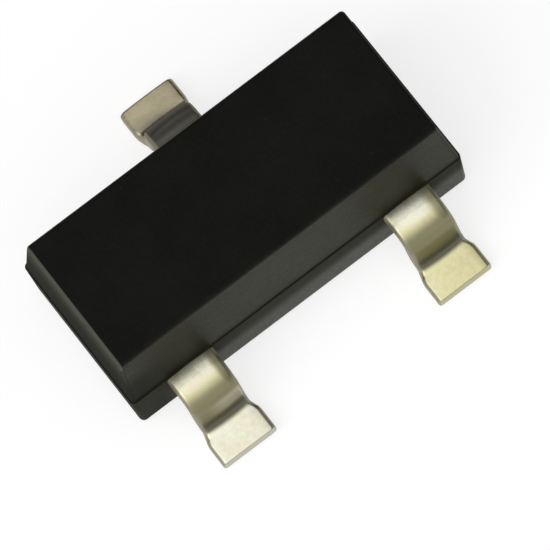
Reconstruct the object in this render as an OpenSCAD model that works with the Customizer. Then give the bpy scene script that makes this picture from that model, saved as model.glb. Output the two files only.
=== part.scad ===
// Surface-mount transistor in a small moulded package with three gull-wing leads.
// The origin is on the seating plane under the middle of the body. +X runs along
// the body, -Y is the side with two leads and +Z is up. Lengths are in millimetres
// and angles in degrees.

/* [Moulded body] */
// Length of the body at its parting line
body_length = 2.90; // [2.80:0.01:3.00]
// Width of the body at its parting line
body_width = 1.32; // [1.24:0.01:1.40]
// Height of the top face over the seating plane
seated_height = 1.10; // [1.04:0.01:1.20]
// Gap between the seating plane and the underside of the body
standoff = 0.04; // [0.01:0.01:0.10]
// Height of the parting line, which runs level with the top of the lead frame
parting_height = 0.54; // [0.50:0.01:0.58]
// Draft of the long sides above the parting line
side_draft = 9; // [4:0.5:12]
// Draft of the two ends above the parting line
end_draft = 5.5; // [3:0.5:12]
// Draft of every wall below the parting line
lower_draft = 1.5; // [1:0.5:8]
// How far the lower mould half stands out under the parting line
parting_step = 0.010; // [0.004:0.001:0.020]
// Radius along the edges of the top face and the underside
rim_radius = 0.03; // [0.01:0.005:0.045]
// Radius of the upright corners
corner_radius = 0.04; // [0.03:0.005:0.12]

/* [Leads] */
// Thickness of the lead frame strip
lead_thickness = 0.12; // [0.08:0.01:0.15]
// Width of each lead where it leaves the body
lead_width = 0.40; // [0.34:0.01:0.46]
// Width of each foot, to which its lead widens over the lower bend
foot_width = 0.46; // [0.40:0.01:0.52]
// Distance between the middles of the two front leads
lead_pitch = 1.90; // [1.80:0.01:2.00]
// Distance from the tips of the front leads to the tip of the rear lead
lead_span = 2.56; // [2.50:0.01:2.64]
// Flat length of each foot, from the bend to the tip
foot_length = 0.20; // [0.16:0.01:0.25]
// Inner radius of the upper bend
shoulder_radius = 0.10; // [0.06:0.01:0.13]
// Inner radius of the lower bend
heel_radius = 0.08; // [0.05:0.01:0.10]
// Lean of the drop between the bends, away from upright
drop_lean = 8; // [2:0.5:12]
// Radius of the two corners of each tip, seen from above
tip_radius = 0.02; // [0.01:0.005:0.06]

/* [Lead frame inside the body] */
// Length of the die flag, along the body
flag_length = 0.80; // [0.60:0.01:0.90]
// Width of the die flag, across the body
flag_width = 0.70; // [0.55:0.01:0.75]
// Distance from the rear parting line to the die flag
flag_setback = 0.24; // [0.15:0.01:0.30]
// Gap between the die flag and the bond posts
frame_gap = 0.18; // [0.10:0.01:0.25]
// Width of each bond post, across the body
post_width = 0.42; // [0.34:0.01:0.55]
// Distance from the front parting line to the bond posts
post_setback = 0.20; // [0.12:0.01:0.26]

/* [Die] */
// Length of each side of the die
die_side = 0.36; // [0.28:0.01:0.46]
// Thickness of the die
die_thickness = 0.14; // [0.10:0.01:0.18]
// Thickness of the bond layer under the die
attach_thickness = 0.02; // [0.010:0.001:0.03]
// How far the bond layer shows around the die
attach_margin = 0.02; // [0.01:0.005:0.04]

/* [Bond wires] */
// Diameter of the wire
wire_diameter = 0.025; // [0.020:0.001:0.038]
// Distance between the two wire pads on the die
pad_pitch = 0.18; // [0.12:0.01:0.20]
// Height of the top of the wire's axis over the die
loop_height = 0.20; // [0.16:0.01:0.24]
// Radius of the wire's axis where it turns over
loop_radius = 0.07; // [0.05:0.005:0.09]
// Diameter of the ball that starts the wire on the die
ball_diameter = 0.070; // [0.055:0.001:0.085]
// Height of that ball
ball_height = 0.020; // [0.015:0.001:0.030]
// Diameter of the flattened stitch that ends the wire on its post
stitch_diameter = 0.080; // [0.060:0.001:0.100]
// Height of that stitch
stitch_height = 0.016; // [0.010:0.001:0.022]

/* [Hidden] */
// Names of the separate pieces

// Colours of the pieces
compound_color = [0.11, 0.11, 0.10];
tin_color = [0.80, 0.78, 0.66];
silicon_color = [0.35, 0.36, 0.40];
die_bond_color = [0.72, 0.71, 0.68];
wire_color = [0.85, 0.68, 0.32];

// Steps along each lead bend and tip corner, each rounded edge of the body and each upright corner
bend_steps = 14;
tip_steps = 5;
rim_steps = 5;
corner_steps = 6;
// Steps along the turn of a bond wire and sides of its round section
turn_steps = 10;
wire_sides = 10;
// True circles on the ball and the stitch
$fn = 48;

// Levels of the body from its underside to its top face: height, and inset from the drafted wall
rim_low = standoff + rim_radius;
rim_high = seated_height - rim_radius;
body_levels = concat(
    [for (i = [rim_steps:-1:0]) rim_level(rim_low, -90 * i / rim_steps, 0)],
    [[parting_height, 0], [parting_height, parting_step]],
    [for (i = [0:rim_steps]) rim_level(rim_high, 90 * i / rim_steps, parting_step)]
);

// Lead frame
frame_top = parting_height;
frame_bottom = frame_top - lead_thickness;
foot_start = lead_span / 2 - foot_length;
outer_shoulder_radius = shoulder_radius + lead_thickness;
outer_heel_radius = heel_radius + lead_thickness;
shoulder_center_z = frame_top - outer_shoulder_radius;
heel_center_z = outer_heel_radius;
shoulder_drop = (shoulder_center_z - heel_center_z) * sin(drop_lean);
shoulder_center_y = foot_start - (outer_shoulder_radius + heel_radius + shoulder_drop) / cos(drop_lean);

// Places inside the body, seen from above
flag_rear = body_width / 2 - flag_setback;
flag_middle_y = flag_rear - flag_width / 2;
post_front = post_setback - body_width / 2;
post_inner = flag_length / 2 + frame_gap;
post_outer = (lead_pitch + lead_width) / 2;
post_length = post_outer - post_inner;
post_middle_y = post_front + post_width / 2;

// Die and wires
attach_side = die_side + 2 * attach_margin;
die_bottom = frame_top + attach_thickness;
die_top = die_bottom + die_thickness;
wire_start = [pad_pitch / 2, flag_middle_y];
wire_end = [post_inner + post_length / 2, post_middle_y];
wire_run = norm(wire_end - wire_start);
wire_heading = atan2(wire_end.y - wire_start.y, wire_end.x - wire_start.x);
wire_rise = loop_height - loop_radius;
wire_radius = wire_diameter / 2;
wire_fall = die_top - frame_top - wire_radius + wire_rise;
// Slope at which the wire comes down, so that it leaves its turn without a kink
wire_slope = atan2(wire_fall, wire_run - loop_radius)
    + asin(loop_radius / norm([wire_run - loop_radius, wire_fall]));

// The wire's axis in its upright plane: distance from the ball, height over the die, heading
wire_axis = concat(
    [[0, ball_height / 2, 90]],
    [
        for (i = [0:turn_steps])
            let (angle = 180 - (90 + wire_slope) * i / turn_steps)
                [
                    loop_radius * (1 + cos(angle)),
                    wire_rise + loop_radius * sin(angle),
                    angle - 90
                ]
    ],
    [[wire_run, wire_rise - wire_fall, -wire_slope]]
);

// Points along an arc from one angle to another
function arc(center, radius, from, to, steps) = [
    for (i = [0:steps])
        let (angle = from + (to - from) * i / steps)
            center + radius * [cos(angle), sin(angle)]
];

// Height and inset at an angle along a rounded edge of the body
function rim_level(height, angle, wall_step) = [
    height + rim_radius * sin(angle),
    wall_step + rim_radius * (1 - cos(angle))
];

// How far a wall of the body has drawn in from the parting line at a height
function wall_inset(height, upper_draft) =
    height > parting_height
        ? (height - parting_height) * tan(upper_draft)
        : (parting_height - height) * tan(lower_draft);

// Rounded outline of the body at one of its levels
function body_ring(level) =
    let (
        radius = max(corner_radius - level[1], corner_radius / 4),
        x = body_length / 2 - wall_inset(level[0], end_draft) - level[1] - radius,
        y = body_width / 2 - wall_inset(level[0], side_draft) - level[1] - radius,
        corners = [[x, y], [-x, y], [-x, -y], [x, -y]]
    )
    [
        for (i = [0:3], point = arc(corners[i], radius, 90 * i, 90 * (i + 1), corner_steps))
            [point.x, point.y, level[0]]
    ];

// Round section of the wire at one station of its axis
function wire_ring(station) = [
    for (i = [0:wire_sides - 1])
        let (turn = 360 * i / wire_sides)
            [
                station[0] - wire_radius * cos(turn) * sin(station[2]),
                -wire_radius * sin(turn),
                station[1] + wire_radius * cos(turn) * cos(station[2])
            ]
];

// Side view of a lead strip from a place inside the body outward. It runs a little past the tip,
// where the view from above trims it.
function lead_section(inner_y) =
    let (
        shoulder = [shoulder_center_y, shoulder_center_z],
        heel = [foot_start, heel_center_z],
        past_tip = lead_span / 2 + lead_thickness
    )
    concat(
        [[inner_y, frame_top]],
        arc(shoulder, outer_shoulder_radius, 90, drop_lean, bend_steps),
        arc(heel, heel_radius, 180 + drop_lean, 270, bend_steps),
        [[past_tip, lead_thickness], [past_tip, 0]],
        arc(heel, outer_heel_radius, 270, 180 + drop_lean, bend_steps),
        arc(shoulder, shoulder_radius, drop_lean, 90, bend_steps),
        [[inner_y, frame_bottom]]
    );

// View from above of a lead strip, which starts inside the body, widens over the lower bend
// and ends in two rounded corners
function lead_outline(inner_y) =
    let (
        neck = lead_width / 2,
        foot = foot_width / 2,
        heel_start = foot_start - heel_radius,
        corner_x = foot - tip_radius,
        corner_y = lead_span / 2 - tip_radius
    )
    concat(
        [[-neck, inner_y - lead_thickness], [neck, inner_y - lead_thickness]],
        [[neck, heel_start], [foot, foot_start]],
        arc([corner_x, corner_y], tip_radius, 0, 90, tip_steps),
        arc([-corner_x, corner_y], tip_radius, 90, 180, tip_steps),
        [[-foot, foot_start], [-neck, heel_start]]
    );

// A bent lead strip that leaves the body towards +Y, shaped by its two views
module bent_lead(inner_y) {
    intersection() {
        translate([-foot_width, 0, 0])
            rotate([90, 0, 90])
                linear_extrude(2 * foot_width)
                    polygon(lead_section(inner_y));
        translate([0, 0, -lead_thickness])
            linear_extrude(seated_height)
                polygon(lead_outline(inner_y));
    }
}

// A flat part of the lead frame, given by its corner and size from above
module frame_plate(corner, size) {
    translate([corner.x, corner.y, frame_bottom])
        linear_extrude(lead_thickness)
            square(size);
}

// One front lead with its bond post, on the +X side. Its strip runs on to the middle of the post.
module front_lead() {
    translate([lead_pitch / 2, 0, 0])
        rotate([0, 0, 180])
            bent_lead(-post_middle_y);
    frame_plate([post_inner, post_front], [post_length, post_width]);
}

// One wire with its ball and stitch, on the +X side
module bond_wire() {
    translate([wire_start.x, wire_start.y, die_top]) {
        squashed_ball();
        rotate([0, 0, wire_heading])
            swept_wire();
    }
    translate([wire_end.x, wire_end.y, frame_top])
        cylinder(h = stitch_height, d = stitch_diameter);
}

// The ball at the start of a wire, pressed flat on both sides
module squashed_ball() {
    translate([0, 0, ball_height / 2])
        intersection() {
            sphere(d = ball_diameter);
            cube([ball_diameter, ball_diameter, ball_height], center = true);
        }
}

// A round wire swept along its axis: up from the ball, over its turn and down to the post
module swept_wire() {
    loft([for (station = wire_axis) wire_ring(station)]);
}

// The moulded block before the other pieces take their place in it
module body_block() {
    loft([for (level = body_levels) body_ring(level)]);
}

// A closed solid through rings of equal length, each counterclockwise seen from the last one
module loft(rings) {
    sides = len(rings[0]);
    last = len(rings) - 1;
    walls = [
        for (k = [0:last - 1], i = [0:sides - 1])
            let (next = (i + 1) % sides)
                [
                    k * sides + i,
                    (k + 1) * sides + i,
                    (k + 1) * sides + next,
                    k * sides + next
                ]
    ];
    first_cap = [for (i = [0:sides - 1]) i];
    last_cap = [for (i = [sides - 1:-1:0]) last * sides + i];
    polyhedron([for (ring = rings) each ring], concat(walls, [first_cap, last_cap]));
}

module mould_body() {
    color(compound_color)
        difference() {
            body_block();
            base_lead();
            emitter_lead();
            collector_lead();
            die_attach();
            silicon_die();
            base_wire();
            emitter_wire();
        }
}

module base_lead() {
    color(tin_color)
        mirror([1, 0, 0])
            front_lead();
}

module emitter_lead() {
    color(tin_color)
        front_lead();
}

module collector_lead() {
    color(tin_color) {
        bent_lead(flag_middle_y);
        frame_plate([-flag_length / 2, flag_rear - flag_width], [flag_length, flag_width]);
    }
}

module silicon_die() {
    color(silicon_color)
        translate([-die_side / 2, flag_middle_y - die_side / 2, die_bottom])
            cube([die_side, die_side, die_thickness]);
}

module die_attach() {
    color(die_bond_color)
        translate([-attach_side / 2, flag_middle_y - attach_side / 2, frame_top])
            cube([attach_side, attach_side, attach_thickness]);
}

module base_wire() {
    color(wire_color)
        mirror([1, 0, 0])
            bond_wire();
}

module emitter_wire() {
    color(wire_color)
        bond_wire();
}

mould_body();
base_lead();
emitter_lead();
collector_lead();
silicon_die();
die_attach();
base_wire();
emitter_wire();
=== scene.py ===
"""Looks of a small moulded transistor with three gull-wing leads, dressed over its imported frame."""

import math

import bmesh
import bpy
from mathutils import Matrix, Vector


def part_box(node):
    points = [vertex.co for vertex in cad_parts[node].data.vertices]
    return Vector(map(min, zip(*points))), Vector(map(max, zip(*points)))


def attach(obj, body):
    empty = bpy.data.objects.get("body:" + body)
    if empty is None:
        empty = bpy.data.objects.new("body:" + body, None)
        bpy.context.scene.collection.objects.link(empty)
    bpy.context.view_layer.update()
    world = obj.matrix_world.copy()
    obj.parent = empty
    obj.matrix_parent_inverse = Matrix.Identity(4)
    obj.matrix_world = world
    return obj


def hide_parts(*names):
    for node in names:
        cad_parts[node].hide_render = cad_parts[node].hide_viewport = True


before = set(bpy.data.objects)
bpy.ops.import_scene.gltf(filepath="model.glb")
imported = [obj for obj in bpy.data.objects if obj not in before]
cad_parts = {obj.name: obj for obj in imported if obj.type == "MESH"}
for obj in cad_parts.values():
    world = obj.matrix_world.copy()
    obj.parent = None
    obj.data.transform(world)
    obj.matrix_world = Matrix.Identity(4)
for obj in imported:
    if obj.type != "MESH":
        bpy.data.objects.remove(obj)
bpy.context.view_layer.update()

# Sizes are in millimetres and angles in degrees, unless a name says otherwise
MM = 0.001

# Solids inside the body that are shown as they are
INNER_NODES = ("silicon_die", "die_attach", "base_wire", "emitter_wire")

# Moulded body. Its length, width and heights come from the frame.
PARTING_HEIGHT = 0.54
SIDE_DRAFT = 9.0
END_DRAFT = 5.5
LOWER_DRAFT = 1.5
CORNER_RADIUS = 0.04
CORNER_STEPS = 10
LEAST_CORNER_RADIUS = 0.01
RIM_RADIUS = 0.03
RIM_STEPS = 6
# The lower mould half stands out a little under the parting line, with a soft edge
LEDGE = 0.010
LEDGE_EDGE = 0.004
LEDGE_STEPS = 3
# It covers the raised middles of the strips by this much
LEDGE_COVER = 0.0005
# Points of the cut body that lie closer than this are one point
MERGE_DISTANCE = 0.000001
# How far large faces rule the shading of the rounded edges beside them, out of 100
FLAT_FACE_WEIGHT = 100

# Lead strips. Their reach, and the ends of their inner plates, come from the frame.
LEAD_THICKNESS = 0.12
LEAD_WIDTH = 0.40
FOOT_WIDTH = 0.46
LEAD_PITCH = 1.90
SHOULDER_RADIUS = 0.10
HEEL_RADIUS = 0.08
DROP_LEAN = 8.0
FOOT_LENGTH = 0.20
FOOT_STATIONS = 6
BEND_STEPS = 20
TIP_CORNER_RADIUS = 0.02
TIP_STEPS = 6
FLAG_SETBACK = 0.24
POST_SETBACK = 0.20
# Finish of the strips: feet that drop towards their tips, rounded edges and a raised middle
FOOT_DROOP = 3.0
TOP_EDGE_RADIUS = 0.036
BOTTOM_EDGE_RADIUS = 0.012
END_EDGE_RADIUS = 0.010
EDGE_STEPS = 5
CROWN = 0.006
CROWN_STEPS = 8

# In the materials, a zone gives the two values between which something fades in or out. Heights are
# over the seating plane, a facing is one part of the direction that a surface faces, and a scale is
# the number of a noise's cells to the millimetre.

# Middle values of a noise, where most of it lies
NOISE_ZONE = (0.3, 0.7)
GRAIN_ZONE = (0.25, 0.75)

# Compound: dark and light tone of the walls and of the top face, where far darker tones paint shade, and
# the specks of its filler
CLOUD_SCALE = 2.2
WALL_DARK = (0.0110, 0.0113, 0.0042, 1.0)
WALL_LIGHT = (0.0190, 0.0196, 0.0076, 1.0)
TOP_SHADE_DARK = (0.0018, 0.0018, 0.0019, 1.0)
TOP_SHADE_LIGHT = (0.0040, 0.0040, 0.0039, 1.0)
SPECK_COLOR = (0.030, 0.030, 0.028, 1.0)
SPECK_SCALE = 42.0
SPECK_ZONE = (0.66, 0.80)
SPECK_SHARE = 0.35
TOP_FACING_ZONE = (0.45, 0.95)
TOP_HEIGHT_ZONE = (0.90, 1.00)
WALL_ROUGHNESS = (0.34, 0.48)
TOP_ROUGHNESS = (0.58, 0.74)
END_FACING_ZONE = (0.70, 0.95)
END_ROUGHNESS = 0.82
COMPOUND_SPECULAR = 0.16
COMPOUND_TINT = (1.0, 1.0, 0.88, 1.0)
GRAIN_SCALE = 55.0
GRAIN_HEIGHT = 0.0022
BODY_WAVE_SCALE = 3.0
WAVE_HEIGHT = 0.004
# Painted shade: darker, rougher compound low on the walls round the left end
LEFT_SHADE_COLOR = (0.0020, 0.0020, 0.0006, 1.0)
LEFT_SHADE_SHARE = 0.9
LEFT_SHADE_ROUGHNESS = 0.62
LEFT_CORNER_ZONE = (-1.35, -0.95)
LEFT_SHADE_HEIGHT_ZONE = (0.70, 0.98)
# Painted highlight: lighter compound along the rim of the left end, and faintly below that
LEFT_END_HIGHLIGHT_COLOR = (0.085, 0.088, 0.068, 1.0)
RIM_TURN_ZONE = (0.10, 0.25)
RIM_END_ZONE = (0.94, 0.999)
RIM_FACING_ZONE = (-0.5, -0.2)
RIM_HEIGHT_ZONE = (1.00, 1.05)
LEFT_END_FACING_ZONE = (-0.95, -0.7)
END_HIGHLIGHT_HEIGHT_ZONE = (0.82, 1.06)
END_HIGHLIGHT_SHARE = 0.35
# Painted shade: rough, darker compound under the parting line
LOWER_SHADE_COLOR = (0.010, 0.010, 0.004, 1.0)
LOWER_SHADE_ROUGHNESS = 0.72
LOWER_SHADE_LOW_ZONE = (0.20, 0.49)
LOWER_SHADE_HIGH_ZONE = (0.535, 0.55)

# Tin plating: its plain tones, straw as painted shade for the right foot and the drops, and the rear
# lead's own tone. The pale tone on the left foot is painted light
TIN_YELLOW = (0.62, 0.60, 0.42, 1.0)
TIN_PALE = (0.68, 0.67, 0.55, 1.0)
TIN_BLUSH = (0.64, 0.56, 0.43, 1.0)
STRAW_SHADE_COLOR = (0.56, 0.52, 0.275, 1.0)
TIN_REAR = (0.68, 0.595, 0.385, 1.0)
TIN_REAR_SHARE = 0.8
PATCH_SCALE = 3.5
PATCH_ZONE = (0.32, 0.68)
BLUSH_SCALE = 5.5
BLUSH_ZONE = (0.48, 0.72)
BLUSH_SHARE = 0.55
FOOT_LIGHT_AND_SHADE_SHARE = 0.8
DROP_SHADE_SHARE = 0.75
TIN_ROUGHNESS = (0.20, 0.28)
TIN_SPECULAR = 0.1
# Its crystals, the lines of the drawn strip across and along it, and a faint wave
CRYSTAL_SCALE = 26.0
DRAWN_LINE_SCALES = (90.0, 4.0, 4.0)
PLATING_HEIGHT = 0.0004
LEAD_WAVE_SCALE = 4.0
# Painted shade: darker tin in the drops, heels and rear bend, with a painted reflection as a pale band on
# the left lead's drop. Duller tin on its cut edges, which on the strip sides is also painted shade
SHADED_TIN_COLOR = (0.25, 0.24, 0.140, 1.0)
SHADED_REAR_TIN_COLOR = (0.20, 0.19, 0.165, 1.0)
BENT_ROUGHNESS = 0.42
HEEL_SHADE_COLOR = (0.185, 0.182, 0.135, 1.0)
DROP_REFLECTION_SHARES = (0.08, 0.52)
CUT_AND_SIDE_SHADE_COLOR = (0.30, 0.27, 0.19, 1.0)
CUT_ROUGHNESS = 0.5
SIDE_CUT_AND_SHADE_SHARE = 0.85
CUT_TIP_SHARE = 0.5
# Painted shade: a thin dark layer, not metal, over the tin at the roots and on the rear bend
SHADE_LAYER_COLOR = (0.055, 0.052, 0.036, 1.0)
REAR_SHADE_LAYER_COLOR = (0.036, 0.033, 0.019, 1.0)
SHADE_LAYER_SHARE = 0.86
REAR_SHADE_LAYER_SHARE = 0.95
REAR_SHADE_LAYER_REACH = 0.072
SHADE_LAYER_RAGGEDNESS = 0.04
SHADE_LAYER_EDGE_SCALE = 12.0

# Zones of the tin along the height of the strips
FOOT_TOP_ZONE = (0.130, 0.155)
HEEL_ZONE = (0.215, 0.285)
REAR_BEND_ZONE = (0.32, 0.38)
DROP_REFLECTION_ZONE = (0.36, 0.42)
UNDER_CREST_ZONE = (0.425, 0.537)
STEEP_SHADE_LAYER_ZONE = (0.498, 0.530)
DROP_SHADE_ZONE = (0.515, 0.540)
# Zones of the tin across the part
BETWEEN_LEADS_ZONE = (-0.5, 0.5)
RIGHT_FOOT_ZONE = (0.4, 0.9)
LEFT_FOOT_ZONE = (-0.9, -0.4)
LEFT_DROP_ZONE = (-0.5, 0.0)
DROP_REFLECTION_SIDE_ZONE = (-1.08, -0.90)
# Painted shade along the right of each front lead: its edges from the lead's middle, and its strength
EDGE_SHADE_START_RIGHT = 0.07
EDGE_SHADE_START_LEFT = 0.095
EDGE_SHADE_END = 0.15
EDGE_SHADE_SHARE_RIGHT = 0.80
EDGE_SHADE_SHARE_LEFT = 0.95
# Zones of the tin along the leads, from the middle of the part
REAR_ZONE = (-0.1, 0.1)
ROOT_ZONE = (0.665, 0.760)
REAR_SHADE_ZONE = (1.06, 1.20)
REAR_SHADE_SIDE_ZONE = (-0.05, 0.16)
REAR_SHADE_SHARES = (0.55, 0.05)
# Zones of the tin by the way that it faces
CUT_SIDE_ZONE = (0.28, 0.70)
CUT_TIP_ZONE = (0.60, 0.95)

# Pieces inside the body: dark and light tone, roughness and grain
SILICON_TONES = ((0.085, 0.09, 0.11, 1.0), (0.12, 0.125, 0.15, 1.0))
SILICON_ROUGHNESS = (0.12, 0.22)
SILICON_SCALE = 9.0
BOND_TONES = ((0.36, 0.35, 0.32, 1.0), (0.55, 0.54, 0.50, 1.0))
BOND_ROUGHNESS = (0.45, 0.65)
BOND_METALLIC = 0.7
BOND_SCALE = 70.0
BOND_HEIGHT = 0.001
WIRE_TONES = ((0.76, 0.50, 0.17, 1.0), (0.84, 0.60, 0.24, 1.0))
WIRE_ROUGHNESS = (0.18, 0.30)
WIRE_SCALE = 60.0

# Camera, fitted to corners and edges of the photograph
FRAME_PIXELS = 550
VIEW_AZIMUTH = -12.98
VIEW_ELEVATION = 71.42
VIEW_ROLL = -24.71
VIEW_DISTANCE = 60.0
PIXELS_PER_MM = 142.49
VIEW_TARGET = (0.0, 0.0, 0.55)
VIEW_OFFSET_RIGHT = 0.232
VIEW_OFFSET_UP = -0.449
SENSOR_WIDTH = 36.0
CLIP_START = 1.0
CLIP_END = 1000.0

# Floor that sweeps up into a low cove all round
FLOOR_RADIUS = 80.0
COVE_RADIUS = 14.0
COVE_STEPS = 12
FLOOR_SIDES = 96
FLOOR_COLOR = (0.38, 0.38, 0.38, 1.0)
FLOOR_LIFT = 0.72
WHITE = (1.0, 1.0, 1.0, 1.0)

# Soft light from a long panel overhead, along the body, in a room that is dim behind the part.
# Its edges are angles from straight up, to the front and to the back.
PANEL_FRONT_EDGE = (15.0, 75.0)
PANEL_BACK_EDGE = (17.0, 30.0)
PANEL_RADIANCE = 1.4
FRONT_RADIANCE = 0.5
BACK_RADIANCE = 0.12
# The light grows towards the left and fades towards the right, by the sideways part of its direction
LEFT_EDGE = (0.35, 0.75)
LEFT_SHARE = 1.6
RIGHT_EDGE = (0.12, 0.55)
RIGHT_SHARE = 0.2


def mm_box(node):
    """Lowest and highest corner of a solid, in millimetres."""
    low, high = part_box(node)
    return low / MM, high / MM


def sin_deg(angle):
    return math.sin(math.radians(angle))


def cos_deg(angle):
    return math.cos(math.radians(angle))


def tan_deg(angle):
    return math.tan(math.radians(angle))


def new_object(name, mesh):
    """A new object in the scene."""
    made = bpy.data.objects.new(name, mesh)
    bpy.context.scene.collection.objects.link(made)
    return made


def loft(name, rings, closed_caps=(True, True)):
    """A mesh through closed rings of equal length, in millimetres, with caps on its two ends or not."""
    shape = bmesh.new()
    rows = [[shape.verts.new(Vector(point) * MM) for point in ring] for ring in rings]
    count = len(rings[0])
    for row, following in zip(rows, rows[1:]):
        for i in range(count):
            j = (i + 1) % count
            shape.faces.new((row[i], row[j], following[j], following[i]))
    for wanted, row in zip(closed_caps, (rows[0], rows[-1])):
        if wanted:
            shape.faces.new(row)
    bmesh.ops.recalc_face_normals(shape, faces=shape.faces)
    for face in shape.faces:
        face.smooth = True
    mesh = bpy.data.meshes.new(name)
    shape.to_mesh(mesh)
    shape.free()
    return new_object(name, mesh)


def keep_flats_flat(piece):
    """Smooth shading that leaves large flat faces flat beside their rounded edges."""
    weighted = piece.modifiers.new("flat_faces", "WEIGHTED_NORMAL")
    weighted.weight = FLAT_FACE_WEIGHT
    weighted.keep_sharp = True


def rounded_outline(half_length, half_width, radius, height):
    """One level of the body, counterclockwise from above."""
    x = half_length - radius
    y = half_width - radius
    points = []
    for quarter, (sx, sy) in enumerate(((1, 1), (-1, 1), (-1, -1), (1, -1))):
        for i in range(CORNER_STEPS + 1):
            angle = 90 * (quarter + i / CORNER_STEPS)
            points.append((sx * x + radius * cos_deg(angle), sy * y + radius * sin_deg(angle), height))
    return points


def quarter_turn(steps):
    """Sine and cosine along a quarter turn."""
    return [(sin_deg(90 * i / steps), cos_deg(90 * i / steps)) for i in range(steps + 1)]


def body_levels(bottom, top):
    """Height and inset of each level of the body, from its underside to its top face."""
    rim_low = bottom + RIM_RADIUS
    rim_high = top - RIM_RADIUS
    ledge_height = PARTING_HEIGHT + LEDGE_COVER
    levels = []
    for s, c in reversed(quarter_turn(RIM_STEPS)):
        levels.append((rim_low - RIM_RADIUS * s, RIM_RADIUS * (1 - c)))
    for s, c in quarter_turn(LEDGE_STEPS):
        levels.append((ledge_height - LEDGE_EDGE * (1 - s), LEDGE_EDGE * (1 - c)))
    for s, c in quarter_turn(LEDGE_STEPS):
        levels.append((ledge_height + LEDGE_EDGE * (1 - c), LEDGE - LEDGE_EDGE * (1 - s)))
    for s, c in quarter_turn(RIM_STEPS):
        levels.append((rim_high + RIM_RADIUS * s, LEDGE + RIM_RADIUS * (1 - c)))
    return levels


def make_body():
    """The moulded body, whole, as a stack of rounded outlines."""
    low, high = mm_box("mould_body")
    rings = []
    for height, inset in body_levels(low.z, high.z):
        rise = height - PARTING_HEIGHT
        end_inset = rise * tan_deg(END_DRAFT) if rise > 0 else -rise * tan_deg(LOWER_DRAFT)
        side_inset = rise * tan_deg(SIDE_DRAFT) if rise > 0 else -rise * tan_deg(LOWER_DRAFT)
        rings.append(
            rounded_outline(
                high.x - end_inset - inset,
                high.y - side_inset - inset,
                max(CORNER_RADIUS - inset, LEAST_CORNER_RADIUS),
                height,
            )
        )
    return loft("moulded_body", rings)


def lead_path(reach):
    """Stations along the middle of a lead from its shoulder to its tip: outward, height, slope."""
    half = LEAD_THICKNESS / 2
    foot_start = reach - FOOT_LENGTH
    heel_height = HEEL_RADIUS + LEAD_THICKNESS
    outer_shoulder = SHOULDER_RADIUS + LEAD_THICKNESS
    shoulder_height = PARTING_HEIGHT - outer_shoulder
    lean_run = (shoulder_height - heel_height) * sin_deg(DROP_LEAN)
    shoulder_start = foot_start - (outer_shoulder + HEEL_RADIUS + lean_run) / cos_deg(DROP_LEAN)
    steepest = 90 - DROP_LEAN
    heel_rise = FOOT_LENGTH * sin_deg(FOOT_DROOP)
    heel_start = foot_start - heel_rise * tan_deg(DROP_LEAN)
    stations = []
    for i in range(BEND_STEPS + 1):
        slope = steepest * i / BEND_STEPS
        radius = SHOULDER_RADIUS + half
        stations.append(
            (shoulder_start + radius * sin_deg(slope), shoulder_height + radius * cos_deg(slope), slope)
        )
    for i in range(BEND_STEPS + 1):
        slope = steepest + (FOOT_DROOP - steepest) * i / BEND_STEPS
        radius = HEEL_RADIUS + half
        outward = heel_start - radius * sin_deg(slope)
        stations.append((outward, heel_height + heel_rise - radius * cos_deg(slope), slope))
    return stations


def strip_ring(station, left, right, thickness, top_edge, bottom_edge):
    """Rounded section of a strip at one station, looking out along it."""
    outward, height, slope = station
    section = []
    for quarter, (sx, sn) in enumerate(((1, 1), (-1, 1), (-1, -1), (1, -1))):
        edge = top_edge if sn > 0 else bottom_edge
        center_x = right - edge if sx > 0 else left + edge
        center_n = thickness / 2 - CROWN - edge if sn > 0 else edge - thickness / 2
        for i in range(EDGE_STEPS + 1):
            angle = 90 * (quarter + i / EDGE_STEPS)
            section.append((center_x + edge * cos_deg(angle), center_n + edge * sin_deg(angle)))
        if quarter == 0:
            section.extend(crown_points(left + edge, right - edge, thickness / 2))
    return [(x, outward + n * sin_deg(slope), height + n * cos_deg(slope)) for x, n in section]


def crown_points(left, right, top):
    """Points over the raised upper face of a strip, from its right edge to its left one."""
    points = []
    for i in range(1, CROWN_STEPS):
        across = 1 - 2 * i / CROWN_STEPS
        points.append(((left + right) / 2 + across * (right - left) / 2, top - CROWN * across**2))
    return points


def end_rounding(side_radius, face_radius):
    """Steps over a cut end: distance from the end, inset of the sides, inset of the faces."""
    steps = []
    for s, c in quarter_turn(TIP_STEPS):
        back = side_radius * (1 - s)
        left = max(face_radius - back, 0.0)
        face_inset = face_radius - math.sqrt(face_radius**2 - left**2)
        steps.append((back, side_radius * (1 - c), face_inset))
    return steps


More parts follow.
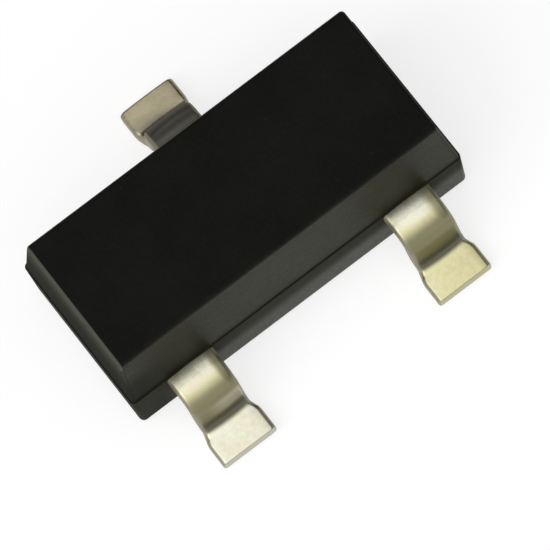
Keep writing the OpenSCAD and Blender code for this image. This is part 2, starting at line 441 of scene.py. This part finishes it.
def make_lead(name, center, plate_end, plate_front, plate_sides, reach, facing):
    """A stamped strip with its inner plate, bent down to its foot. facing is 1 for +Y and -1 for -Y."""
    middle = PARTING_HEIGHT - LEAD_THICKNESS / 2
    path = lead_path(reach)
    flare_end = reach - FOOT_LENGTH
    flare_start = flare_end - HEEL_RADIUS
    rings = []

    def strip_sides(outward):
        share = min(max((outward - flare_start) / (flare_end - flare_start), 0.0), 1.0)
        half = (LEAD_WIDTH + (FOOT_WIDTH - LEAD_WIDTH) * share) / 2
        return center - half, center + half

    def add(station, sides, side_inset=0.0, face_inset=0.0):
        left, right = sides[0] + side_inset, sides[1] - side_inset
        thickness = LEAD_THICKNESS - 2 * face_inset
        ring = strip_ring(station, left, right, thickness, TOP_EDGE_RADIUS, BOTTOM_EDGE_RADIUS)
        rings.append([(x, facing * y, z) for x, y, z in ring])

    rounding = end_rounding(TIP_CORNER_RADIUS, END_EDGE_RADIUS)
    for back, side_inset, face_inset in reversed(rounding):
        add((plate_end + back, middle, 0.0), plate_sides, side_inset, face_inset)
    add((plate_front, middle, 0.0), plate_sides)
    add((plate_front + TIP_CORNER_RADIUS, middle, 0.0), strip_sides(plate_front))
    for station in path:
        add(station, strip_sides(station[0]))
    foot_start, foot_height, droop = path[-1]
    foot_end = reach - TIP_CORNER_RADIUS

    def on_foot(outward):
        return (outward, foot_height - (outward - foot_start) * tan_deg(droop), droop)

    for i in range(1, FOOT_STATIONS):
        outward = foot_start + (foot_end - foot_start) * i / FOOT_STATIONS
        add(on_foot(outward), strip_sides(outward))
    tip = reach - LEAD_THICKNESS / 2 * sin_deg(FOOT_DROOP)
    for back, side_inset, face_inset in rounding:
        add(on_foot(tip - back), strip_sides(reach), side_inset, face_inset)
    return loft(name, rings)


def body_half_width():
    """From the middle of the body to its long side."""
    return mm_box("mould_body")[1].y


def make_front_lead(node, side):
    """A front lead with its bond post. side is 1 for the right one and -1 for the left one."""
    low, high = mm_box(node)
    outer = high.x if side > 0 else low.x
    inner = low.x if side > 0 else high.x
    center = outer - side * FOOT_WIDTH / 2
    plate_sides = tuple(sorted((inner, center + side * LEAD_WIDTH / 2)))
    plate_front = body_half_width() - POST_SETBACK
    return make_lead(node + "_strip", center, -high.y, plate_front, plate_sides, -low.y, -1)


def make_rear_lead(node):
    """The rear lead with its die flag."""
    low, high = mm_box(node)
    plate_front = body_half_width() - FLAG_SETBACK
    return make_lead(node + "_strip", 0.0, low.y, plate_front, (low.x, high.x), high.y, 1)


def cut_pockets(body, pieces):
    """Cuts the place of each piece out of the body, so that the body is moulded round it."""
    for piece in pieces:
        pocket = body.modifiers.new("pocket", "BOOLEAN")
        pocket.operation = "DIFFERENCE"
        pocket.solver = "EXACT"
        pocket.object = piece
    bpy.context.view_layer.update()
    shaped = body.evaluated_get(bpy.context.evaluated_depsgraph_get())
    shape = bmesh.new()
    shape.from_object(shaped, bpy.context.evaluated_depsgraph_get())
    bmesh.ops.remove_doubles(shape, verts=shape.verts, dist=MERGE_DISTANCE * MM)
    bmesh.ops.dissolve_degenerate(shape, edges=shape.edges, dist=MERGE_DISTANCE * MM)
    body.modifiers.clear()
    shape.to_mesh(body.data)
    shape.free()


def set_inputs(tree, node, inputs):
    """Sets inputs of a shader node, each to a value or to another node's output."""
    for name, value in inputs.items():
        socket = node.inputs[name]
        if isinstance(value, bpy.types.NodeSocket):
            tree.links.new(value, socket)
        else:
            socket.default_value = value


def add_node(tree, kind, inputs=None, **settings):
    """A new shader node with its settings and inputs."""
    made = tree.nodes.new(kind)
    for name, value in settings.items():
        setattr(made, name, value)
    set_inputs(tree, made, inputs or {})
    return made


def math_node(tree, operation, first, second=0.0):
    """The result of an operation on two numbers."""
    return add_node(tree, "ShaderNodeMath", {0: first, 1: second}, operation=operation).outputs[0]


def times(tree, first, second):
    return math_node(tree, "MULTIPLY", first, second)


def larger(tree, first, second):
    return math_node(tree, "MAXIMUM", first, second)


def inverse(tree, share):
    """What a share leaves of 1."""
    return math_node(tree, "SUBTRACT", 1.0, share)


def size_of(tree, value):
    """A value without its sign."""
    return math_node(tree, "ABSOLUTE", value)


def ramp(tree, value, zone, start=0.0, end=1.0):
    """Goes softly from start to end while a value goes through a zone."""
    inputs = {"Value": value, "From Min": zone[0], "From Max": zone[1], "To Min": start, "To Max": end}
    return add_node(tree, "ShaderNodeMapRange", inputs, interpolation_type="SMOOTHSTEP").outputs["Result"]


def blend(tree, share, start, end):
    """A number between two others, at a share from 0 to 1."""
    return ramp(tree, share, (0.0, 1.0), start, end)


def mix_color(tree, share, low, high):
    """The colour between two others at a share, by the colour sockets of a Mix node."""
    factor, first, second, result = 0, 6, 7, 2
    made = add_node(tree, "ShaderNodeMix", {factor: share, first: low, second: high}, data_type="RGBA")
    return made.outputs[result]


def noise(tree, place, scale, detail=3.0, roughness=0.55):
    """Noise at a place given in millimetres."""
    inputs = {"Vector": place, "Scale": scale, "Detail": detail, "Roughness": roughness}
    return add_node(tree, "ShaderNodeTexNoise", inputs).outputs["Fac"]


def bump(tree, height, distance_mm, strength=1.0, under=None):
    """A normal from a height, in millimetres, over another normal."""
    inputs = {"Height": height, "Distance": distance_mm * MM, "Strength": strength}
    if under is not None:
        inputs["Normal"] = under
    return add_node(tree, "ShaderNodeBump", inputs).outputs["Normal"]


def split(tree, vector):
    """The three parts of a vector."""
    parts = add_node(tree, "ShaderNodeSeparateXYZ", {"Vector": vector}).outputs
    return parts["X"], parts["Y"], parts["Z"]


def facing_parts(tree):
    """The three parts of the direction that a surface faces."""
    return split(tree, add_node(tree, "ShaderNodeNewGeometry").outputs["Normal"])


def start_material(name):
    """A new material with its shader, its output and its place in millimetres."""
    material = bpy.data.materials.new(name)
    material.use_nodes = True
    tree = material.node_tree
    tree.nodes.clear()
    shader = add_node(tree, "ShaderNodeBsdfPrincipled")
    add_node(tree, "ShaderNodeOutputMaterial", {"Surface": shader.outputs["BSDF"]})
    own = add_node(tree, "ShaderNodeTexCoord").outputs["Object"]
    place = add_node(tree, "ShaderNodeVectorMath", {0: own, "Scale": 1 / MM}, operation="SCALE")
    return material, tree, shader, place.outputs["Vector"]


def compound_zones(tree, place):
    """Shares of the compound that are top face, end wall, painted shade round the left end, painted
    highlight along the left rim and below it, and painted shade under the parting line.
    """
    across, _, height = split(tree, place)
    face_x, _, up = facing_parts(tree)
    at_left = ramp(tree, across, LEFT_CORNER_ZONE, 1.0, 0.0)
    on_rim = times(tree, ramp(tree, up, RIM_TURN_ZONE), ramp(tree, up, RIM_END_ZONE, 1.0, 0.0))
    left_rim = times(
        tree, ramp(tree, face_x, RIM_FACING_ZONE, 1.0, 0.0), ramp(tree, height, RIM_HEIGHT_ZONE)
    )
    left_end = ramp(tree, face_x, LEFT_END_FACING_ZONE, 1.0, 0.0)
    low = larger(tree, ramp(tree, height, LOWER_SHADE_LOW_ZONE), at_left)
    return {
        "top": times(tree, ramp(tree, up, TOP_FACING_ZONE), ramp(tree, height, TOP_HEIGHT_ZONE)),
        "end": ramp(tree, size_of(tree, face_x), END_FACING_ZONE),
        "left_shade": times(tree, at_left, ramp(tree, height, LEFT_SHADE_HEIGHT_ZONE, LEFT_SHADE_SHARE, 0.0)),
        "rim_highlight": times(tree, on_rim, left_rim),
        "end_highlight": times(tree, left_end, ramp(tree, height, END_HIGHLIGHT_HEIGHT_ZONE, 0.0, END_HIGHLIGHT_SHARE)),
        "lower_shade": times(tree, low, ramp(tree, height, LOWER_SHADE_HIGH_ZONE, 1.0, 0.0)),
    }


def compound_color(tree, place, zones):
    """Black with a faint cloudy tone and the specks of its filler, with painted shade that makes the top
    face far darker.
    """
    tone = ramp(tree, noise(tree, place, CLOUD_SCALE, detail=4.0), NOISE_ZONE)
    wall = mix_color(tree, tone, WALL_DARK, WALL_LIGHT)
    # Painted shade low on the walls round the left end
    wall = mix_color(tree, zones["left_shade"], wall, LEFT_SHADE_COLOR)
    # Painted shade: the top face takes far darker tones than the walls
    color = mix_color(tree, zones["top"], wall, mix_color(tree, tone, TOP_SHADE_DARK, TOP_SHADE_LIGHT))
    specks = ramp(tree, noise(tree, place, SPECK_SCALE, detail=2.0), SPECK_ZONE, 0.0, SPECK_SHARE)
    color = mix_color(tree, specks, color, SPECK_COLOR)
    # Painted highlight along the left rim, and faintly down the left end
    color = mix_color(tree, zones["rim_highlight"], color, LEFT_END_HIGHLIGHT_COLOR)
    color = mix_color(tree, zones["end_highlight"], color, LEFT_END_HIGHLIGHT_COLOR)
    # Painted shade under the parting line
    return mix_color(tree, zones["lower_shade"], color, LOWER_SHADE_COLOR)


def compound_roughness(tree, grain, zones):
    """A matt top face and smoother walls, which are rough at the ends and where shade is painted low
    round the left end and under the parting line.
    """
    wall = ramp(tree, grain, GRAIN_ZONE, *WALL_ROUGHNESS)
    wall = blend(tree, zones["left_shade"], wall, LEFT_SHADE_ROUGHNESS)
    wall = blend(tree, zones["end"], wall, END_ROUGHNESS)
    wall = blend(tree, zones["lower_shade"], wall, LOWER_SHADE_ROUGHNESS)
    return blend(tree, zones["top"], wall, ramp(tree, grain, GRAIN_ZONE, *TOP_ROUGHNESS))


def compound_material():
    """Black filled epoxy with a fine grain over a faint wave."""
    material, tree, shader, place = start_material("moulding_compound")
    zones = compound_zones(tree, place)
    grain = noise(tree, place, GRAIN_SCALE, detail=3.0, roughness=0.6)
    wave = bump(tree, noise(tree, place, BODY_WAVE_SCALE, detail=2.0), WAVE_HEIGHT, strength=0.6)
    inputs = {
        "Base Color": compound_color(tree, place, zones),
        "Roughness": compound_roughness(tree, grain, zones),
        "Specular IOR Level": COMPOUND_SPECULAR,
        "Specular Tint": COMPOUND_TINT,
        "Normal": bump(tree, grain, GRAIN_HEIGHT, strength=0.9, under=wave),
    }
    set_inputs(tree, shader, inputs)
    return material


def sound_tin(tree, place, rear, on_foot):
    """Warm tones of sound tin, which wander along the strips, with painted light that makes the left foot
    paler and painted shade that turns the right foot and the drops to straw. The rear lead is a little
    redder.
    """
    across, _, height = split(tree, place)
    patch = ramp(tree, noise(tree, place, PATCH_SCALE, detail=2.0), PATCH_ZONE)
    blush = ramp(tree, noise(tree, place, BLUSH_SCALE, detail=2.0), BLUSH_ZONE, 0.0, BLUSH_SHARE)
    # Painted light on the left foot, painted shade on the right foot and the drops
    shaded_right_foot = times(tree, ramp(tree, across, RIGHT_FOOT_ZONE, 0.0, FOOT_LIGHT_AND_SHADE_SHARE), on_foot)
    lit_left_foot = times(tree, ramp(tree, across, LEFT_FOOT_ZONE, FOOT_LIGHT_AND_SHADE_SHARE, 0.0), on_foot)
    off_foot = inverse(tree, on_foot)
    drop = times(tree, ramp(tree, height, DROP_SHADE_ZONE, DROP_SHADE_SHARE, 0.0), off_foot)
    tone = mix_color(tree, larger(tree, patch, lit_left_foot), TIN_YELLOW, TIN_PALE)
    tone = mix_color(tree, blush, tone, TIN_BLUSH)
    tone = mix_color(tree, larger(tree, shaded_right_foot, drop), tone, STRAW_SHADE_COLOR)
    return mix_color(tree, times(tree, rear, TIN_REAR_SHARE), tone, TIN_REAR)


def painted_shade_tin(tree, place, rear_bend):
    """Painted shade in darker tones of tin, darkest in the heels and on the rear bend, with a painted
    reflection as a pale band on the left lead's drop.
    """
    across, _, height = split(tree, place)
    peak = ramp(tree, across, DROP_REFLECTION_SIDE_ZONE, *DROP_REFLECTION_SHARES)
    on_left_drop = ramp(tree, across, LEFT_DROP_ZONE, 1.0, 0.0)
    drop_reflection = times(tree, ramp(tree, height, DROP_REFLECTION_ZONE, peak, 0.0), on_left_drop)
    # Painted reflection: a pale band across the left lead's drop, strongest towards its right
    tone = mix_color(tree, drop_reflection, SHADED_TIN_COLOR, TIN_PALE)
    # Painted shade, darkest in the heels and on the rear bend
    tone = mix_color(tree, ramp(tree, height, HEEL_ZONE, 1.0, 0.0), tone, HEEL_SHADE_COLOR)
    return mix_color(tree, rear_bend, tone, SHADED_REAR_TIN_COLOR)


def shade_and_bend_share(tree, place, rear, over_foot):
    """How far painted shade darkens the tin over the feet, which is also rougher there: under the crests,
    along the right of the front leads and on the rear lead.
    """
    across, _, height = split(tree, place)
    under_crest = ramp(tree, height, UNDER_CREST_ZONE, 1.0, 0.0)
    left_lead = ramp(tree, across, BETWEEN_LEADS_ZONE, 1.0, 0.0)
    lead_middle = ramp(tree, across, BETWEEN_LEADS_ZONE, -LEAD_PITCH / 2, LEAD_PITCH / 2)
    from_middle = math_node(tree, "SUBTRACT", across, lead_middle)
    # Painted shade along the right of each front lead
    edge_shade_start = blend(tree, left_lead, EDGE_SHADE_START_RIGHT, EDGE_SHADE_START_LEFT)
    edge_shade_share = blend(tree, left_lead, EDGE_SHADE_SHARE_RIGHT, EDGE_SHADE_SHARE_LEFT)
    edge_shade = ramp(tree, from_middle, (edge_shade_start, EDGE_SHADE_END), 0.0, edge_shade_share)
    dull = larger(tree, larger(tree, under_crest, edge_shade), rear)
    return times(tree, dull, over_foot)


def shade_layer_share(tree, place, rear, rear_bend):
    """Where a dark layer, not metal, paints shade over the tin: ragged at the roots, and on the steep
    part of the rear bend.
    """
    _, along, height = split(tree, place)
    ragged = times(tree, noise(tree, place, SHADE_LAYER_EDGE_SCALE, detail=2.0), SHADE_LAYER_RAGGEDNESS)
    from_middle = math_node(tree, "ADD", size_of(tree, along), ragged)
    from_root = math_node(tree, "SUBTRACT", from_middle, times(tree, rear, REAR_SHADE_LAYER_REACH))
    at_root = ramp(tree, from_root, ROOT_ZONE, blend(tree, rear, SHADE_LAYER_SHARE, REAR_SHADE_LAYER_SHARE), 0.0)
    steep = times(tree, ramp(tree, height, STEEP_SHADE_LAYER_ZONE, REAR_SHADE_LAYER_SHARE, 0.0), rear_bend)
    return larger(tree, at_root, steep)


def cut_and_shade_share(tree, on_foot):
    """Dull cut tips of the feet, and the sides of the strips, where the dull colour is also painted
    shade, by the way they face.
    """
    face_x, face_y, _ = facing_parts(tree)
    side = ramp(tree, size_of(tree, face_x), CUT_SIDE_ZONE, 0.0, SIDE_CUT_AND_SHADE_SHARE)
    tip = ramp(tree, size_of(tree, face_y), CUT_TIP_ZONE, 0.0, CUT_TIP_SHARE)
    return larger(tree, side, times(tree, tip, on_foot))


def rear_shade(tree, place, rear):
    """How far painted shade darkens the rear foot towards its bend, most on its left."""
    across, along, _ = split(tree, place)
    most = ramp(tree, across, REAR_SHADE_SIDE_ZONE, *REAR_SHADE_SHARES)
    return times(tree, ramp(tree, along, REAR_SHADE_ZONE, most, 0.0), rear)


def tin_normal(tree, place, crystals):
    """Fine crystals over the lines of the drawn strip and a faint wave."""
    scaled = {0: place, 1: DRAWN_LINE_SCALES}
    stretched = add_node(tree, "ShaderNodeVectorMath", scaled, operation="MULTIPLY").outputs["Vector"]
    lines = noise(tree, stretched, scale=1.0, detail=2.0)
    wave = bump(tree, noise(tree, place, LEAD_WAVE_SCALE, detail=1.0), WAVE_HEIGHT, strength=0.4)
    drawn = bump(tree, lines, PLATING_HEIGHT, strength=0.4, under=wave)
    return bump(tree, crystals, PLATING_HEIGHT, strength=0.4, under=drawn)


def tin_material():
    """Satin tin plating with a warm tone that wanders, rougher in its drops and bends and dull where cut,
    with painted light and shade over its feet, drops, bends and roots.
    """
    material, tree, shader, place = start_material("tin_plate")
    _, along, height = split(tree, place)
    rear = ramp(tree, along, REAR_ZONE)
    over_foot = ramp(tree, height, FOOT_TOP_ZONE)
    on_foot = inverse(tree, over_foot)
    rear_bend = times(tree, rear, ramp(tree, height, REAR_BEND_ZONE))
    bent = shade_and_bend_share(tree, place, rear, over_foot)
    shade_layer = shade_layer_share(tree, place, rear, rear_bend)
    cut = cut_and_shade_share(tree, on_foot)
    # Painted shade over the drops and heels, the right of the front leads and the rear lead
    color = mix_color(tree, bent, sound_tin(tree, place, rear, on_foot), painted_shade_tin(tree, place, rear_bend))
    # Painted shade on the rear foot towards its bend
    color = mix_color(tree, rear_shade(tree, place, rear), color, SHADED_REAR_TIN_COLOR)
    # Painted shade: a dark layer, not metal, at the roots and on the rear bend
    color = mix_color(tree, shade_layer, color, mix_color(tree, rear, SHADE_LAYER_COLOR, REAR_SHADE_LAYER_COLOR))
    crystals = noise(tree, place, CRYSTAL_SCALE, detail=2.0, roughness=0.5)
    rough = blend(tree, bent, ramp(tree, crystals, GRAIN_ZONE, *TIN_ROUGHNESS), BENT_ROUGHNESS)
    inputs = {
        # Dull cut tips, and painted shade on the strip sides and their rounded edges
        "Base Color": mix_color(tree, cut, color, CUT_AND_SIDE_SHADE_COLOR),
        "Metallic": inverse(tree, shade_layer),
        "Roughness": blend(tree, cut, rough, CUT_ROUGHNESS),
        "Specular IOR Level": TIN_SPECULAR,
        "Normal": tin_normal(tree, place, crystals),
    }
    set_inputs(tree, shader, inputs)
    return material


def silicon_material():
    """Polished dark grey silicon with a faint cloudy tone."""
    material, tree, shader, place = start_material("silicon")
    cloud = noise(tree, place, SILICON_SCALE, detail=2.0)
    inputs = {
        "Base Color": mix_color(tree, cloud, *SILICON_TONES),
        "Roughness": ramp(tree, cloud, NOISE_ZONE, *SILICON_ROUGHNESS),
    }
    set_inputs(tree, shader, inputs)
    return material


def die_bond_material():
    """Silver-filled bond layer with a fine grain."""
    material, tree, shader, place = start_material("die_bond")
    grain = noise(tree, place, BOND_SCALE)
    inputs = {
        "Base Color": mix_color(tree, grain, *BOND_TONES),
        "Metallic": BOND_METALLIC,
        "Roughness": ramp(tree, grain, NOISE_ZONE, *BOND_ROUGHNESS),
        "Normal": bump(tree, grain, BOND_HEIGHT, strength=0.7),
    }
    set_inputs(tree, shader, inputs)
    return material


def wire_material():
    """Drawn gold-coloured wire."""
    material, tree, shader, place = start_material("bond_wire")
    lines = noise(tree, place, WIRE_SCALE, detail=2.0)
    inputs = {
        "Base Color": mix_color(tree, lines, *WIRE_TONES),
        "Metallic": 1.0,
        "Roughness": ramp(tree, lines, NOISE_ZONE, *WIRE_ROUGHNESS),
    }
    set_inputs(tree, shader, inputs)
    return material


def floor_material():
    """Matt floor that is lifted to white where it is seen, mirrored or seen through, with its shadow."""
    material = bpy.data.materials.new("floor_white")
    material.use_nodes = True
    tree = material.node_tree
    tree.nodes.clear()
    path = add_node(tree, "ShaderNodeLightPath").outputs
    seen = larger(tree, path["Is Camera Ray"], path["Is Glossy Ray"])
    seen = larger(tree, seen, path["Is Transmission Ray"])
    paint = add_node(tree, "ShaderNodeBsdfDiffuse", {"Color": FLOOR_COLOR})
    lift = {"Color": WHITE, "Strength": times(tree, seen, FLOOR_LIFT)}
    glow = add_node(tree, "ShaderNodeEmission", lift)
    both = add_node(tree, "ShaderNodeAddShader", {0: paint.outputs[0], 1: glow.outputs[0]})
    add_node(tree, "ShaderNodeOutputMaterial", {"Surface": both.outputs[0]})
    return material


def make_floor():
    """A round floor whose edge sweeps up into a low cove."""
    profile = [(FLOOR_RADIUS / 2, 0.0)]
    for s, c in quarter_turn(COVE_STEPS):
        profile.append((FLOOR_RADIUS + COVE_RADIUS * s, COVE_RADIUS * (1 - c)))
    rings = []
    for radius, height in profile:
        turn = [360 * i / FLOOR_SIDES for i in range(FLOOR_SIDES)]
        rings.append([(radius * cos_deg(angle), radius * sin_deg(angle), height) for angle in turn])
    floor = loft("floor", rings, closed_caps=(True, False))
    floor.data.materials.append(floor_material())


def set_light():
    """A soft panel overhead that leans to the left, in a dimmer room, as the world's light."""
    world = bpy.data.worlds.new("soft_studio")
    bpy.context.scene.world = world
    world.use_nodes = True
    tree = world.node_tree
    tree.nodes.clear()
    to_right, to_back, to_top = split(tree, add_node(tree, "ShaderNodeTexCoord").outputs["Generated"])
    turn = math_node(tree, "ARCTAN2", to_back, to_top)
    front_inner, front_outer = (math.radians(edge) for edge in PANEL_FRONT_EDGE)
    back_inner, back_outer = (math.radians(edge) for edge in PANEL_BACK_EDGE)
    front = ramp(tree, turn, (-front_outer, -front_inner), FRONT_RADIANCE, PANEL_RADIANCE)
    back = ramp(tree, turn, (back_inner, back_outer), PANEL_RADIANCE, BACK_RADIANCE)
    overhead = math_node(tree, "MINIMUM", front, back)
    right = ramp(tree, to_right, RIGHT_EDGE, 1.0, RIGHT_SHARE)
    left = ramp(tree, times(tree, to_right, -1.0), LEFT_EDGE, 1.0, LEFT_SHARE)
    strength = times(tree, overhead, times(tree, right, left))
    light = add_node(tree, "ShaderNodeBackground", {"Color": WHITE, "Strength": strength})
    add_node(tree, "ShaderNodeOutputWorld", {"Surface": light.outputs["Background"]})


def set_camera():
    """The photograph's view, through a long lens without shift."""
    azimuth, elevation, roll = VIEW_AZIMUTH, VIEW_ELEVATION, VIEW_ROLL
    ahead = Vector((sin_deg(azimuth), -cos_deg(azimuth), 0.0))
    back = ahead * cos_deg(elevation) + Vector((0.0, 0.0, sin_deg(elevation)))
    level = Vector((cos_deg(azimuth), sin_deg(azimuth), 0.0))
    upright = back.cross(level)
    right = level * cos_deg(roll) + upright * sin_deg(roll)
    up = upright * cos_deg(roll) - level * sin_deg(roll)
    place = Vector(VIEW_TARGET) + VIEW_OFFSET_RIGHT * right + VIEW_OFFSET_UP * up + VIEW_DISTANCE * back
    camera = bpy.data.objects.new("camera", bpy.data.cameras.new("camera"))
    bpy.context.scene.collection.objects.link(camera)
    turn = Matrix((right, up, back)).transposed().to_4x4()
    camera.matrix_world = Matrix.Translation(place * MM) @ turn
    camera.data.sensor_width = SENSOR_WIDTH
    camera.data.lens = SENSOR_WIDTH * VIEW_DISTANCE * PIXELS_PER_MM / FRAME_PIXELS
    camera.data.clip_start = CLIP_START * MM
    camera.data.clip_end = CLIP_END * MM
    bpy.context.scene.camera = camera


def dress(piece, node, material):
    """Gives a piece its material and its place on the part, instead of its solid."""
    piece.data.materials.clear()
    piece.data.materials.append(material)
    keep_flats_flat(piece)
    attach(piece, "root")
    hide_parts(node)


def paint_solid(node, material):
    """Gives a solid that is shown as it is its material."""
    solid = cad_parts[node]
    solid.data.materials.clear()
    solid.data.materials.append(material)


bpy.context.scene.view_settings.view_transform = "Standard"
set_camera()
set_light()
make_floor()

body = make_body()
leads = {
    "base_lead": make_front_lead("base_lead", -1),
    "emitter_lead": make_front_lead("emitter_lead", 1),
    "collector_lead": make_rear_lead("collector_lead"),
}
cut_pockets(body, list(leads.values()) + [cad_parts[node] for node in INNER_NODES])

dress(body, "mould_body", compound_material())
tin = tin_material()
for node, lead in leads.items():
    dress(lead, node, tin)
paint_solid("silicon_die", silicon_material())
paint_solid("die_attach", die_bond_material())
wire = wire_material()
paint_solid("base_wire", wire)
paint_solid("emitter_wire", wire)
